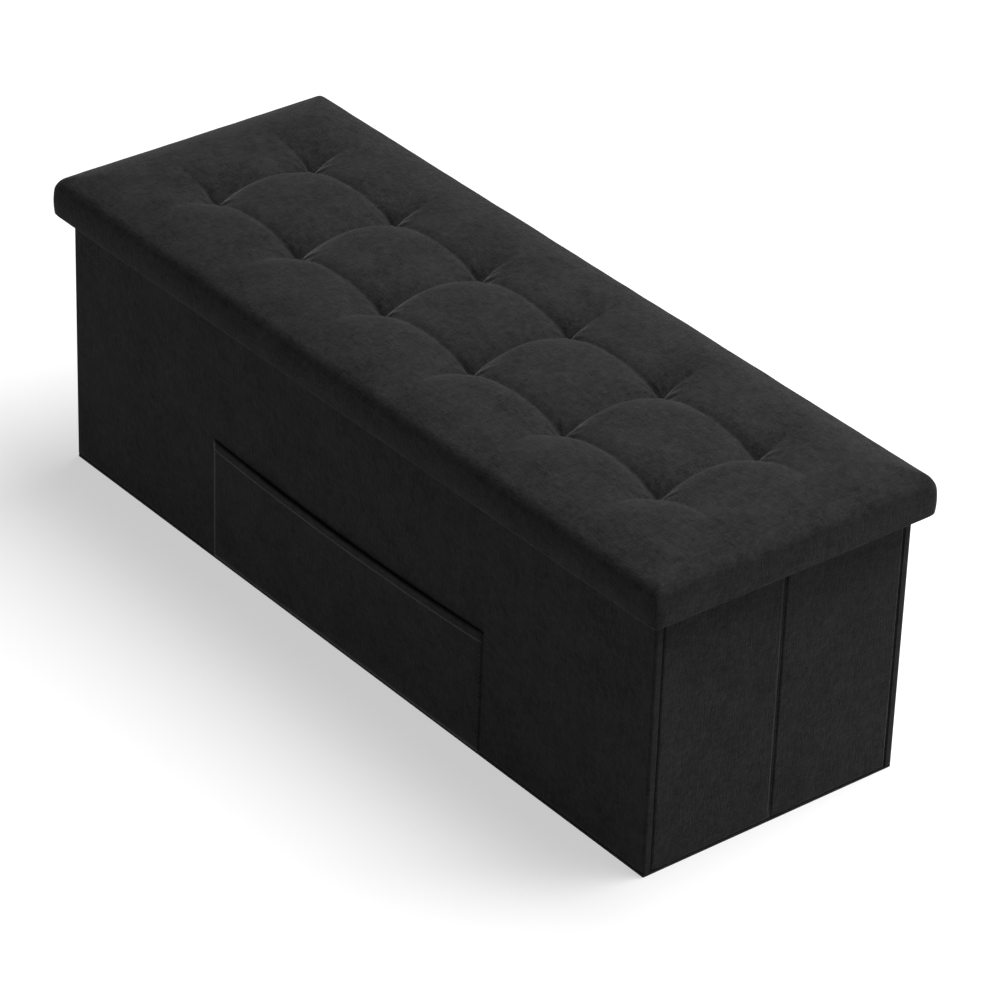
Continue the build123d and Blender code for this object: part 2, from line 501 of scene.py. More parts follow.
def stitch_row(bm: bmesh.types.BMesh, start: Vector, end: Vector, pitch: float = 4.2 * MM) -> None:
    """Adds a row of small thread stitches along a straight line.

    Args:
        bm: the open bmesh.
        start: one end.
        end: the other end.
        pitch: distance between stitches.
    """
    run = end - start
    count = max(1, int(run.length / pitch))
    turn = run.to_track_quat("X", "Z").to_matrix().to_4x4()
    shape = Matrix.Diagonal((0.36 * pitch, 0.34 * MM, 0.34 * MM, 1))
    for i in range(count):
        place = Matrix.Translation(start + run * ((i + 0.5) / count))
        bmesh.ops.create_uvsphere(bm, u_segments=6, v_segments=4, radius=1.0, matrix=place @ turn @ shape)


# --------------------------------------------------------------------------------------------------
# Walls
# --------------------------------------------------------------------------------------------------


class Facing(Enum):
    """Which way a panel's outer face looks."""

    BACK = Vector((0, 1, 0))
    FRONT = Vector((0, -1, 0))
    RIGHT = Vector((1, 0, 0))
    LEFT = Vector((-1, 0, 0))


@dataclass
class CoveredPanel:
    """One wall panel: its wrapped cover outside and its sewn lining inside."""

    name: str
    facing: Facing
    seed: float
    cell: float = 11 * MM
    edge_round: float = 3.4 * MM
    softness: float = 0.6 * MM
    margin: float = 22 * MM
    fold_dip: float = 0.45 * MM
    fold_reach: float = 5 * MM
    stitch_inset: float = 7 * MM
    lip_depth: float = 1.3 * MM
    lip: float = 1.6 * MM

    def build(self, wardrobe: Wardrobe) -> None:
        """Makes the panel's pieces and dresses its boards.

        Args:
            wardrobe: where finishes come from.
        """
        cover = self.build_cover()
        flatten_shading(cover)
        wardrobe.dress(cover, Finish.COVER)
        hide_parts(f"{self.name}_cover")
        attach(cover, self.name)
        wardrobe.dress_node(f"{self.name}_board", Finish.BOARD)
        wardrobe.dress_node(f"{self.name}_wadding", Finish.WADDING)
        self.build_lining(wardrobe)
        LOG.info("built %s panel", self.name)

    def build_cover(self) -> bpy.types.Object:
        """The fabric wrap, slightly soft over its wadding.

        Returns:
            The cover.
        """
        low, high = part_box(f"{self.name}_cover")
        out = self.facing.value
        bm = soft_box(low, high, self.edge_round, self.cell, out)
        level = max(out.dot(low), out.dot(high))
        for vert in bm.verts:
            if level - out.dot(vert.co) < 0.1 * MM:
                vert.co -= out * self.dip(vert.co, low, high)
        if abs(out.y) > 0.5:
            self.add_lips(bm, low, high)
        return piece_from(bm, f"{self.name}_cover_fabric")

    def add_lips(self, bm: bmesh.types.BMesh, low: Vector, high: Vector) -> None:
        """The welts at both ends of a long panel, which fill the seam beside each end panel.

        Args:
            bm: the open bmesh.
            low: the box's lowest corner.
            high: the box's highest corner.
        """
        inner = low.y if self.facing is Facing.BACK else high.y
        way = -1 if self.facing is Facing.BACK else 1
        for end, side in ((high.x, 1), (low.x, -1)):
            size = Vector((self.lip, self.lip + 1 * MM, high.z - low.z - 2 * MM))
            centre = Vector((
                end - side * (self.lip_depth + self.lip / 2),
                inner + way * (self.lip - 1 * MM) / 2,
                (low.z + high.z) / 2,
            ))
            place = Matrix.Translation(centre) @ Matrix.Diagonal((*size, 1))
            made = bmesh.ops.create_cube(bm, size=1.0, matrix=place)
            edges = list({edge for vert in made["verts"] for edge in vert.link_edges})
            bmesh.ops.bevel(
                bm, geom=edges, offset=0.4 * MM, segments=2, profile=0.5, affect="EDGES", material=-1
            )

    def dip(self, point: Vector, low: Vector, high: Vector) -> float:
        """How far the cover sinks below its panel's outer face at a point.

        Args:
            point: a point on the face.
            low: the box's lowest corner.
            high: the box's highest corner.
        Returns:
            The depth.
        """
        across = 0 if abs(self.facing.value.y) > 0.5 else 1
        beside = min(point[across] - low[across], high[across] - point[across])
        inside = min(beside, point.z - low.z, high.z - point.z)
        weight = min(1.0, max(0.0, inside / self.margin))
        wave = 0.5 + 0.5 * ripple(point, 95 * MM, self.seed) + 0.25 * ripple(point, 38 * MM, self.seed + 5)
        past_fold = (abs(point.y) - 1.5 * MM) / self.fold_reach
        fold = 0.0 if across == 0 else self.fold_dip * math.exp(-past_fold ** 2)
        return self.softness * weight * min(1.0, max(0.0, wave)) + fold * (1 if "rear" in self.name else 0.4)

    def build_lining(self, wardrobe: Wardrobe) -> None:
        """The lining, a thin cloth with a sewn border.

        Args:
            wardrobe: where finishes come from.
        """
        low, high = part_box(f"{self.name}_lining")
        bm = soft_box(low, high, 0.3 * MM, 25 * MM, -self.facing.value)
        lining = wardrobe.dress(piece_from(bm, f"{self.name}_lining_cloth"), Finish.LINING)
        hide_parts(f"{self.name}_lining")
        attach(lining, self.name)
        self.build_lining_stitches(wardrobe, low, high)

    def build_lining_stitches(self, wardrobe: Wardrobe, low: Vector, high: Vector) -> None:
        """The row of stitches along the lining's top edge, on its inner face.

        Args:
            wardrobe: where finishes come from.
            low: the box's lowest corner.
            high: the box's highest corner.
        """
        across, through = (0, 1) if abs(self.facing.value.y) > 0.5 else (1, 0)
        start, end = low.copy(), high.copy()
        way_out = self.facing.value[through]
        inner = (low if way_out > 0 else high)[through] + way_out * STITCH_SINK
        for point, way in ((start, 1), (end, -1)):
            point[through] = inner
            point[across] += way * self.stitch_inset
            point.z = high.z - self.stitch_inset
        bm = bmesh.new()
        stitch_row(bm, start, end, LONG_STITCH)
        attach(wardrobe.dress(piece_from(bm, f"{self.name}_lining_stitches"), Finish.TWINE), self.name)


# --------------------------------------------------------------------------------------------------
# Pocket
# --------------------------------------------------------------------------------------------------


@dataclass
class PatchPocket:
    """Wide patch pocket on the front, sewn on three sides, its hemmed mouth standing a little open."""

    cell: float = 5 * MM
    cloth: float = 0.55 * MM
    hem_cloth: float = 0.22 * MM
    seam_gap: float = 0.2 * MM
    seam_width: float = 22 * MM
    mouth: float = 2.8 * MM
    belly: float = 1.0 * MM
    sag: float = 7 * MM
    hem_step: float = 0.2 * MM
    hem_overlap: float = 0.1 * MM
    hem: float = 14 * MM

    def build(self, wardrobe: Wardrobe) -> None:
        """Makes the pocket, its hem and its stitching.

        Args:
            wardrobe: where finishes come from.
        """
        low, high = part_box("front_pocket")
        wall_low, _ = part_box("front_cover")
        self.left, self.right, self.foot, self.top, self.face = low.x, high.x, low.z, high.z, wall_low.y
        bag = wardrobe.dress(self.panel("pocket_cloth", self.foot, self.top, 0.0, self.cloth), Finish.COVER)
        hem = wardrobe.dress(
            self.panel(
                "pocket_hem_fold", self.top - self.hem, self.top + self.hem_step,
                self.cloth - self.hem_overlap, self.hem_cloth,
            ),
            Finish.COVER,
        )
        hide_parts("front_pocket")
        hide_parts("pocket_hem")
        stitches = self.stitching(wardrobe)
        for piece in (bag, hem, stitches):
            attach(piece, "front")
        LOG.info("built pocket")

    def stand_off(self, x: float, z: float) -> float:
        """Gap between the wall and the pocket's inner face.

        Args:
            x: place along the bench.
            z: height.
        Returns:
            The gap.
        """
        side = min(x - self.left, self.right - x) / self.seam_width
        rise = (z - self.foot) / (self.top - self.foot)
        side_fade = 1 - (1 - min(1.0, max(0.0, side))) ** 2.2
        foot_fade = min(1.0, max(0.0, (z - self.foot) / self.seam_width))
        middle = 1 - (2 * (x - self.left) / (self.right - self.left) - 1) ** 2
        gap = self.belly * foot_fade * side_fade + (self.mouth - self.belly) * rise**3 * middle
        wave = 0.7 * MM * ripple(Vector((x, 0, z)), 80 * MM, 3.1) * side_fade * foot_fade
        return self.seam_gap + max(0.0, gap + wave)

    def panel(self, name: str, foot: float, top: float, lift: float, cloth: float) -> bpy.types.Object:
        """A strip of the pocket's cloth between two heights, lift further out and so thick.

        Args:
            name: its name.
            foot: lower height.
            top: upper height.
            lift: extra distance out from the wall.
            cloth: thickness.
        Returns:
            The strip.
        """
        columns = round((self.right - self.left) / self.cell)
        rows = max(2, round((top - foot) / self.cell))
        bm = bmesh.new()
        bmesh.ops.create_grid(bm, x_segments=columns, y_segments=rows, size=0.5)
        for vert in bm.verts:
            x = self.left + (vert.co.x + 0.5) * (self.right - self.left)
            z = foot + (vert.co.y + 0.5) * (top - foot)
            middle = 1 - (2 * (x - self.left) / (self.right - self.left) - 1) ** 2
            drop = self.sag * middle * max(0.0, (z - self.foot) / (self.top - self.foot)) ** 2
            vert.co = (x, self.face - self.stand_off(x, z) - lift, z - drop)
        bmesh.ops.recalc_face_normals(bm, faces=bm.faces[:])
        if sum(face.normal.y for face in bm.faces) > 0:
            bmesh.ops.reverse_faces(bm, faces=bm.faces[:])
        bmesh.ops.solidify(bm, geom=bm.faces[:], thickness=cloth)
        return piece_from(bm, name)

    def stitching(self, wardrobe: Wardrobe) -> bpy.types.Object:
        """Topstitching down both sides and along the hem.

        Args:
            wardrobe: where finishes come from.
        Returns:
            The stitches.
        """
        bm = bmesh.new()
        inset = 3 * MM
        steps, hem_steps = 24, 60
        level = self.top - self.hem + 2.5 * MM
        for x in (self.left + inset, self.right - inset):
            side = [(x, self.foot + (self.top - self.foot) * i / steps) for i in range(steps + 1)]
            self.stitch_path(bm, side, 0.0)
        span = self.right - self.left - 2 * inset
        across = [(self.left + inset + span * i / hem_steps, level) for i in range(hem_steps + 1)]
        self.stitch_path(bm, across, self.hem_step)
        return wardrobe.dress(piece_from(bm, "pocket_stitching"), Finish.TWINE)

    def stitch_path(self, bm: bmesh.types.BMesh, path: Sequence[tuple[float, float]], lift: float) -> None:
        """Stitches along points (x, z) that lie on the pocket's cloth.

        Args:
            bm: the open bmesh.
            path: points (x, z) in order.
            lift: extra distance out from the wall.
        """
        places = []
        for x, z in path:
            middle = 1 - (2 * (x - self.left) / (self.right - self.left) - 1) ** 2
            drop = self.sag * middle * ((z - self.foot) / (self.top - self.foot)) ** 2
            out = self.stand_off(x, z) + lift + self.cloth
            places.append(Vector((x, self.face - out, z - drop)))
        for start, end in zip(places, places[1:]):
            stitch_row(bm, start, end)


# --------------------------------------------------------------------------------------------------
# Lid
# --------------------------------------------------------------------------------------------------


@dataclass
class TuftedLid:
    """Padded lid with two rows of six pinched tufts."""

    columns: int = 6
    rows: int = 2
    anchor_radius: float = 10 * MM
    corner: float = 14 * MM
    top_round: float = 11 * MM
    squareness: float = 0.65
    side: float = 48.5 * MM
    crown: float = 11.0 * MM
    crown_width: float = 70 * MM
    tuft_level: float = 361.5 * MM
    tuft_reach: float = 27 * MM
    tuft_power: float = 1.15
    crease_depth: tuple[float, float] = (9.0 * MM, 5.0 * MM)
    crease_reach: tuple[float, float] = (5.0 * MM, 9.0 * MM)
    crease_ease: float = 30 * MM
    border_inset: float = 6 * MM
    twine: float = 0.7 * MM
    pleat: float = 0.9 * MM
    pleats: int = 9
    corner_cells: int = 3
    round_rings: int = 7
    cells_between: tuple[int, int] = (30, 26)
    cells_outside: tuple[int, int] = (28, 24)

    def __post_init__(self) -> None:
        """Reads the lid's place from the imported parts."""
        self.low, self.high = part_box("lid_cover")
        underside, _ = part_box("lid_lining")
        _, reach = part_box("tuft_anchors")
        self.edge_level = underside.z + self.side
        self.tuft_x = reach.x - self.anchor_radius
        self.tuft_y = reach.y - self.anchor_radius
        self.pitch_x = 2 * self.tuft_x / (self.columns - 1)
        self.half = Vector((self.high.x - self.top_round, self.high.y - self.top_round))
        self.core_round = self.corner - self.top_round
        self.tuft_depth = self.edge_level + self.crown - self.crease_depth[0] - self.tuft_level

    def tufts(self) -> list[Vector]:
        """Places of the tufts in plan."""
        return [Vector((-self.tuft_x + i * self.pitch_x, side * self.tuft_y))
                for side in (-1, 1) for i in range(self.columns)]

    def build(self, wardrobe: Wardrobe) -> None:
        """Makes the cover, foam and stitches, and dresses the hidden pieces.

        Args:
            wardrobe: where finishes come from.
        """
        cover = self.build_cover()
        foam = self.build_foam(cover)
        add_subdivision(cover, 1)
        wardrobe.dress(cover, Finish.COVER)
        wardrobe.dress(foam, Finish.FOAM)
        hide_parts("lid_cover")
        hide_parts("lid_foam")
        for piece in (cover, foam):
            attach(piece, "lid")
        wardrobe.dress_node("lid_board", Finish.BOARD)
        wardrobe.dress_node("lid_lining", Finish.LINING)
        wardrobe.dress_node("lid_staples", Finish.WIRE)
        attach(wardrobe.dress(self.build_border(), Finish.TWINE), "lid")
        ties = wardrobe.dress(self.build_ties(cover), Finish.TWINE)
        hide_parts("tuft_threads")
        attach(ties, "lid")
        wardrobe.dress_node("tuft_anchors", Finish.PLASTIC)
        LOG.info("built lid")

    def build_border(self) -> bpy.types.Object:
        """The stitches round the lid's lining.

        Returns:
            The stitches.
        """
        low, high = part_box("lid_lining")
        reach = Vector((high.x, high.y)) - Vector((self.border_inset, self.border_inset))
        level = low.z + STITCH_SINK
        corners = [Vector((x * reach.x, y * reach.y, level)) for x, y in ((-1, -1), (1, -1), (1, 1), (-1, 1))]
        bm = bmesh.new()
        for start, end in zip(corners, corners[1:] + corners[:1]):
            stitch_row(bm, start, end, LONG_STITCH)
        return piece_from(bm, "lid_lining_stitches")

    def build_ties(self, cover: bpy.types.Object) -> bpy.types.Object:
        """The twine of each tuft, from its knot under the anchor to its cross stitch on the cover.

        Args:
            cover: the lid's cover.
        Returns:
            The twine.
        """
        low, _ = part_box("tuft_threads")
        points = points_of(cover.data)
        bm = bmesh.new()
        for tuft in self.tufts():
            near = np.hypot(points[:, 0] - tuft.x, points[:, 1] - tuft.y) < 2.0 * MM
            top = float(points[near & (points[:, 2] > self.low.z + 20 * MM), 2].mean())
            middle = Matrix.Translation((tuft.x, tuft.y, (low.z + top) / 2))
            bmesh.ops.create_cone(bm, cap_ends=True, segments=8, radius1=self.twine, radius2=self.twine,
                                  depth=top - low.z, matrix=middle)
            flatten = Matrix.Diagonal((2.2, 2.2, 0.6, 1))
            knot = Matrix.Translation((tuft.x, tuft.y, low.z + 0.3 * MM)) @ flatten
            bmesh.ops.create_uvsphere(bm, u_segments=8, v_segments=5, radius=self.twine, matrix=knot)
            for turn in (0.6, 2.2):
                across = Vector((math.cos(turn), math.sin(turn), 0)) * 2.4 * MM
                centre = Vector((tuft.x, tuft.y, top + 0.2 * MM))
                stitch_row(bm, centre - across, centre + across, pitch=2.4 * MM)
        return piece_from(bm, "tuft_ties")

    # Shape of the top

    def spread(self, cells_out: int, cells_in: int, gaps: int, inner: float, outer: float) -> np.ndarray:
        """Places of grid lines along one axis, closer together beside each crease.

        Args:
            cells_out: cells from the outer tufts to the edge.
            cells_in: cells between two tufts.
            gaps: spaces between tufts.
            inner: outermost tuft from the middle.
            outer: edge from the middle.
        Returns:
            Every grid line's place, in order.
        """
        ease = 0.45
        share = np.linspace(0, 1, cells_in + 1)
        eased = share - ease * np.sin(2 * np.pi * share) / (2 * np.pi)
        between = [-inner + 2 * inner / gaps * (g + eased[:-1]) for g in range(gaps)]
        share = np.linspace(0, 1, cells_out + 1)
        reach = outer - self.core_round - inner
        outward = inner + reach * (share - ease * np.sin(np.pi * share) / np.pi * (1 - share))
        corner = outer - self.core_round * np.linspace(1, 0, self.corner_cells + 1)[1:]
        outward = np.concatenate([outward, corner])
        return np.concatenate([-outward[:0:-1], *between, outward])

    def rounded(self, x: float, y: float) -> tuple[float, float]:
        """A point of the square-cornered grid moved into the rounded outline.

        Args:
            x: place along the bench.
            y: place across the bench.
        Returns:
            Its place in the outline.
        """
        core_x = min(max(x, self.core_round - self.half.x), self.half.x - self.core_round)
        core_y = min(max(y, self.core_round - self.half.y), self.half.y - self.core_round)
        off = Vector((x - core_x, y - core_y))
        if off.length < 1e-9:
            return x, y
        scale = max(abs(off.x), abs(off.y)) / off.length
        return core_x + off.x * scale, core_y + off.y * scale

    def edge_distance(self, x: float, y: float) -> float:
        """Distance inwards from the edge of the top.

        Args:
            x: place along the bench.
            y: place across the bench.
        Returns:
            The distance, below 0 outside.
        """
        over_x = abs(x) - (self.half.x - self.core_round)
        over_y = abs(y) - (self.half.y - self.core_round)
        if over_x > 0 and over_y > 0:
            return self.core_round - math.hypot(over_x, over_y)
        return min(self.half.x - abs(x), self.half.y - abs(y))

    def fade_out(self, past: float, room: float) -> float:
        """How strong a crease still is, past its last tuft, with room left to the edge."""
        share = max(0.0, past) / (0.8 * room)
        return max(0.0, 1 - share) ** 1.3

    def height(self, x: float, y: float) -> float:
        """Height of the top above its edge level.

        Args:
            x: place along the bench.
            y: place across the bench.
        Returns:
            The height.
        """
        inside = min(1.0, max(0.0, self.edge_distance(x, y) / self.crown_width))
        level = self.crown * (1 - (1 - inside) ** 2.4)
        nearest = min(self.tufts(), key=lambda tuft: (tuft - Vector((x, y))).length)
        gap = (nearest - Vector((x, y))).length
        tuft = math.exp(-((gap / self.tuft_reach) ** self.tuft_power))
        away_x, away_y = abs(x - nearest.x), abs(y - nearest.y)
        room_x, room_y = self.half.x - self.tuft_x, self.half.y - self.tuft_y
        along_x = self.fade_out(abs(x) - self.tuft_x, room_x)
        along_y = self.fade_out(abs(y) - self.tuft_y, room_y)
        crease = max(self.crease(away_x, away_y) * along_y, self.crease(away_y, away_x) * along_x)
        return level - crease - self.tuft_depth * tuft

    def crease(self, across: float, along: float) -> float:
        """Depth of a crease, across it and so far along it from its tuft.

        Args:
            across: distance across the crease.
            along: distance along it.
        Returns:
            The depth.
        """
        ease = math.exp(-along / self.crease_ease)
        depth = self.crease_depth[1] + (self.crease_depth[0] - self.crease_depth[1]) * ease
        reach = self.crease_reach[1] + (self.crease_reach[0] - self.crease_reach[1]) * ease
        return depth * math.exp(-across / reach)

    def build_cover(self) -> bpy.types.Object:
        """The fabric cover: top, rounded edge, side band and the part folded under the board.

        Returns:
            The cover.
        """
        lines_x, lines_y = (
            self.spread(self.cells_outside[i], self.cells_between[i], count - 1, tuft, self.half[i])
            for i, (count, tuft) in enumerate(((self.columns, self.tuft_x), (self.rows, self.tuft_y)))
        )
        bm = bmesh.new()
        bmesh.ops.create_grid(bm, x_segments=len(lines_x) - 1, y_segments=len(lines_y) - 1, size=0.5)
        top = bm.verts[:]
        for vert in top:
            column = round((vert.co.x + 0.5) * (len(lines_x) - 1))
            row = round((vert.co.y + 0.5) * (len(lines_y) - 1))
            x, y = self.rounded(lines_x[column], lines_y[row])
            vert.co = (x, y, self.edge_level + self.height(x, y))
        for step, (out, level) in enumerate(self.side_profile(), 1):
            self.add_ring(bm, out, level, self.squareness * min(1.0, step / self.round_rings))
        bmesh.ops.recalc_face_normals(bm, faces=bm.faces[:])
        if max(bm.faces, key=lambda face: face.calc_center_median().z).normal.z < 0:
            bmesh.ops.reverse_faces(bm, faces=bm.faces[:])
        cover = piece_from(bm, "lid_cover_fabric")
        self.crumple(cover)
        return cover

    def side_profile(self) -> Iterable[tuple[float, float]]:
        """Each ring below the top's edge, as (distance outwards from it, height).

        Returns:
            The rings, from the top down.
        """
        rise = math.atan(self.crown * 2.4 / self.crown_width)
        radius = self.top_round / (1 - math.sin(rise))
        for i in range(1, self.round_rings + 1):
            angle = rise + (math.pi / 2 - rise) * i / self.round_rings
            drop = radius * (math.cos(rise) - math.cos(angle))
            yield radius * (math.sin(angle) - math.sin(rise)), self.edge_level - drop
        start = self.edge_level - radius * math.cos(rise)
        fold = 0.8 * MM
        foot = self.low.z
        steps = 6
        for i in range(1, steps + 1):
            share = i / steps
            bulge = 0.9 * MM * math.sin(math.pi * share)
            yield self.top_round + bulge, start + (foot + fold - start) * share
        yield self.top_round - 0.3 * fold, foot + 0.3 * fold
        yield self.top_round - fold, foot
        yield self.top_round - 16 * MM, foot
        yield self.top_round - 34 * MM, foot
        yield self.top_round - 35 * MM, foot + 1.2 * MM

    def add_ring(self, bm: bmesh.types.BMesh, out: float, level: float, square: float) -> None:
        """Extrudes the open rim by one ring of the side.

        Args:
            bm: the open bmesh.
            out: distance outwards from the top's edge.
            level: the ring's height.
            square: 0 for round corners, 1 for square ones.
        """
        rim = [edge for edge in bm.edges if edge.is_boundary]
        made = bmesh.ops.extrude_edge_only(bm, edges=rim)
        core = self.half - Vector((self.core_round, self.core_round))
        for vert in (g for g in made["geom"] if isinstance(g, bmesh.types.BMVert)):
            if out <= 0:
                place = self.tucked(vert.co.xy, out)
            else:
                centre = Vector([min(max(vert.co[i], -core[i]), core[i]) for i in range(2)])
                away = (vert.co.xy - centre).normalized()
                stretch = 1 / max(abs(away.x), abs(away.y)) ** square
                place = centre + away * (stretch * (self.core_round + out))
            vert.co = (place.x, place.y, level)

    def tucked(self, point: Vector, out: float) -> Vector:
        """A point of the rim drawn in so that it lies that far inside the top's edge."""
        limit = self.half + Vector((out, out))
        return Vector((min(max(point.x, -limit.x), limit.x), min(max(point.y, -limit.y), limit.y)))

    def crumple(self, cover: bpy.types.Object) -> None:
        """Adds pleats round each tuft and a faint unevenness to the cloth.

        Args:
            cover: the lid's cover.
        """
        points, normals = points_of(cover.data), normals_of(cover.data)
        tufts = self.tufts()
        for i, point in enumerate(points):
            if point[2] < self.low.z + 4 * MM:
                continue
            gaps = [math.hypot(point[0] - tuft.x, point[1] - tuft.y) for tuft in tufts]
            nearest = gaps.index(min(gaps))
            off_x, off_y = point[0] - tufts[nearest].x, point[1] - tufts[nearest].y
            gap = math.hypot(off_x, off_y)
            angle = math.atan2(off_y, off_x) + 0.35 * math.sin(2.7 * nearest + 40 * gap)
            pull = math.exp(-(((gap - 13 * MM) / (9 * MM)) ** 2))
            lift = self.pleat * pull * math.sin(self.pleats * angle + 1.9 * nearest)
            lift += 0.45 * MM * ripple(point, 62 * MM, 4.4) + 0.3 * MM * ripple(point, 27 * MM, 8.2)
            points[i] = point + normals[i] * lift
        set_points(cover.data, points)

    def build_foam(self, cover: bpy.types.Object) -> bpy.types.Object:
        """The foam under the cover, from the board up.

        Args:
            cover: the lid's cover.
        Returns:
            The foam.
        """
        _, board_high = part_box("lid_board")
        bm = bmesh.new()
        bm.from_mesh(cover.data)
        bmesh.ops.bisect_plane(bm, geom=bm.verts[:] + bm.edges[:] + bm.faces[:], dist=1e-6,
                               plane_co=(0, 0, board_high.z + 2.5 * MM), plane_no=(0, 0, 1), clear_inner=True)
        bm.normal_update()
        inwards = [(vert, vert.normal.copy()) for vert in bm.verts]
        for vert, normal in inwards:
            vert.co -= normal * 2.4 * MM
            vert.co.z = max(vert.co.z, board_high.z)
        bmesh.ops.holes_fill(bm, edges=[edge for edge in bm.edges if edge.is_boundary])
        bmesh.ops.recalc_face_normals(bm, faces=bm.faces[:])
        return piece_from(bm, "lid_foam_block")


# --------------------------------------------------------------------------------------------------
# Base and cloth hinges
# --------------------------------------------------------------------------------------------------


@dataclass
class Base:
    """Base board in its cloth wrap, with the lining that shows inside."""

    def build(self, wardrobe: Wardrobe) -> None:
        """Dresses the base's pieces.

        Args:
            wardrobe: where finishes come from.
        """
        wardrobe.dress_node("base_board", Finish.BOARD)
        wardrobe.dress_node("base_wrap", Finish.COVER)
        wardrobe.dress_node("base_lining", Finish.LINING)


@dataclass
class ClothHinge:
    """A strip of cloth across a fold, drawn as a bent profile and run along the fold."""

    name: str
    node: str
    bodies: tuple[str, str]
    flat: tuple[float, float]
    area: float | None = None
    cloth: float = 0.7 * MM
    finish: Finish = Finish.TAPE

    def build(
        self, wardrobe: Wardrobe, profile: Sequence[Vector], run: Vector, start: Vector, end: Vector
    ) -> None:
        """Makes the strip.

        Args:
            wardrobe: where its finish comes from.
            profile: points of its bent section at one end.
            run: the way from that end to the other.
            start: not used.
            end: not used.
        """
        bm = bmesh.new()
        verts = [bm.verts.new(point) for point in profile]
        edges = [bm.edges.new(pair) for pair in zip(verts, verts[1:])]
        steps = max(2, round(run.length / (20 * MM)))
        for _ in range(steps):
            made = bmesh.ops.extrude_edge_only(bm, edges=edges)["geom"]
            moved = [g for g in made if isinstance(g, bmesh.types.BMVert)]
            bmesh.ops.translate(bm, verts=moved, vec=run / steps)
            rims = [g for g in made if isinstance(g, bmesh.types.BMEdge)]
            edges = [edge for edge in rims if all(vert in moved for vert in edge.verts)]
        bmesh.ops.recalc_face_normals(bm, faces=bm.faces[:])
        bmesh.ops.solidify(bm, geom=bm.faces[:], thickness=self.cloth)
        bmesh.ops.recalc_face_normals(bm, faces=bm.faces[:])
        strip = wardrobe.dress(piece_from(bm, self.name), self.finish)
        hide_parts(self.node)
        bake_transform(strip)
        LOG.info("built %s", self.name)


def bend(corner: Vector, first: Vector, second: Vector, leg: float, radius: float) -> list[Vector]:
    """An L profile with a rounded corner.

    Args:
        corner: where the legs would meet.
        first: way from the corner along the first leg.
        second: way from the corner along the second leg.
        leg: length of each leg.
        radius: radius of the corner.
    Returns:
        Points from the first leg's tip to the second leg's tip.
    """
    centre = corner + (first + second) * radius
    turn = [centre - second * radius * math.cos(a) - first * radius * math.sin(a)
            for a in np.linspace(0, math.pi / 2, 5)]
    return [corner + first * leg, corner + first * (leg + radius) / 2, *turn,
            corner + second * (leg + radius) / 2, corner + second * leg]


def build_hinges(wardrobe: Wardrobe) -> None:
    """Makes every cloth hinge.

    Args:
        wardrobe: where finishes come from.
    """
    up = Vector((0, 0, 1))
    for side, x_way in (("right", 1), ("left", -1)):
        build_corner_tapes(wardrobe, side, x_way)
        low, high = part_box(f"{side}_fold_gusset")
        out = high.x if x_way > 0 else low.x
        sag = ((low.y, 0.1), (0.5 * low.y, 0.5), (0, 0.7), (0.5 * high.y, 0.5), (high.y, 0.1))
        profile = [Vector((out - x_way * dip * MM, y, low.z)) for y, dip in sag]
        rise = high.z - low.z
        strip = ClothHinge(
            f"{side}_fold_strip", f"{side}_fold_gusset", (f"{side}_front", f"{side}_rear"),
            (LEAST_FLAT, rise), area=(high.y - low.y) * STRIP_SLACK * rise, finish=Finish.COVER,
        )
        strip.build(wardrobe, profile, up * rise, Vector((out, low.y, 0)), Vector((out, high.y, 0)))
    build_lid_tape(wardrobe)


def build_corner_tapes(wardrobe: Wardrobe, side: str, x_way: int) -> None:
    """Tapes inside the two corners of one end.

    Args:
        wardrobe: where finishes come from.
        side: right or left.
        x_way: 1 at the right end, -1 at the left.
    """
    for place, y_way, body in (("rear", 1, "back"), ("front", -1, "front")):
        node = f"{side}_{place}_corner_tape"
        low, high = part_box(node)
        half = 0.4 * MM
        corner_x = high.x - half if x_way > 0 else low.x + half
        corner_y = high.y - half if y_way > 0 else low.y + half
        corner = Vector((corner_x, corner_y, low.z))
        along, across = Vector((-x_way, 0, 0)), Vector((0, -y_way, 0))
        leg, run = high.x - low.x - half, Vector((0, 0, high.z - low.z))
        flat = (2 * leg, run.z)
        if (side, place) == ("left", "front"):
            for name, way, rider in (("front", along, "front"), ("end", across, "left_front")):
                leaf(wardrobe, f"{node}_{name}_leaf", node, corner, way, leg, run, rider)
            continue
        tape = ClothHinge(f"{node}_cloth", node, (body, f"{side}_{place}"), flat)
        if place == "front":
            tape.bodies = ("front", f"{side}_front")
        profile = bend(corner, along, across, leg, 2.0 * MM)
        tape.build(wardrobe, profile, run, corner + along * 2.5 * MM, corner + across * 2.5 * MM)


def leaf(
    wardrobe: Wardrobe, name: str, node: str, corner: Vector, way: Vector, leg: float, run: Vector, body: str
) -> None:
    """One flat leaf of a corner tape, on one body.

    Args:
        wardrobe: where finishes come from.
        name: its name.
        node: the solid it stands for.
        corner: where the leaf starts.
        way: the way it runs from there.
        leg: its length.
        run: its height, as a vector.
        body: the body it rides on.
    """
    bm = bmesh.new()
    ends = [bm.verts.new(corner + way * d) for d in (0.6 * MM, leg / 2, leg)]
    edges = [bm.edges.new(pair) for pair in zip(ends, ends[1:])]
    made = bmesh.ops.extrude_edge_only(bm, edges=edges)["geom"]
    bmesh.ops.translate(bm, verts=[g for g in made if isinstance(g, bmesh.types.BMVert)], vec=run)
    bmesh.ops.recalc_face_normals(bm, faces=bm.faces[:])
    bmesh.ops.solidify(bm, geom=bm.faces[:], thickness=0.7 * MM)
    bmesh.ops.recalc_face_normals(bm, faces=bm.faces[:])
    piece = wardrobe.dress(piece_from(bm, name, smooth=False), Finish.TAPE)
    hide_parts(node)
    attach(piece, body)


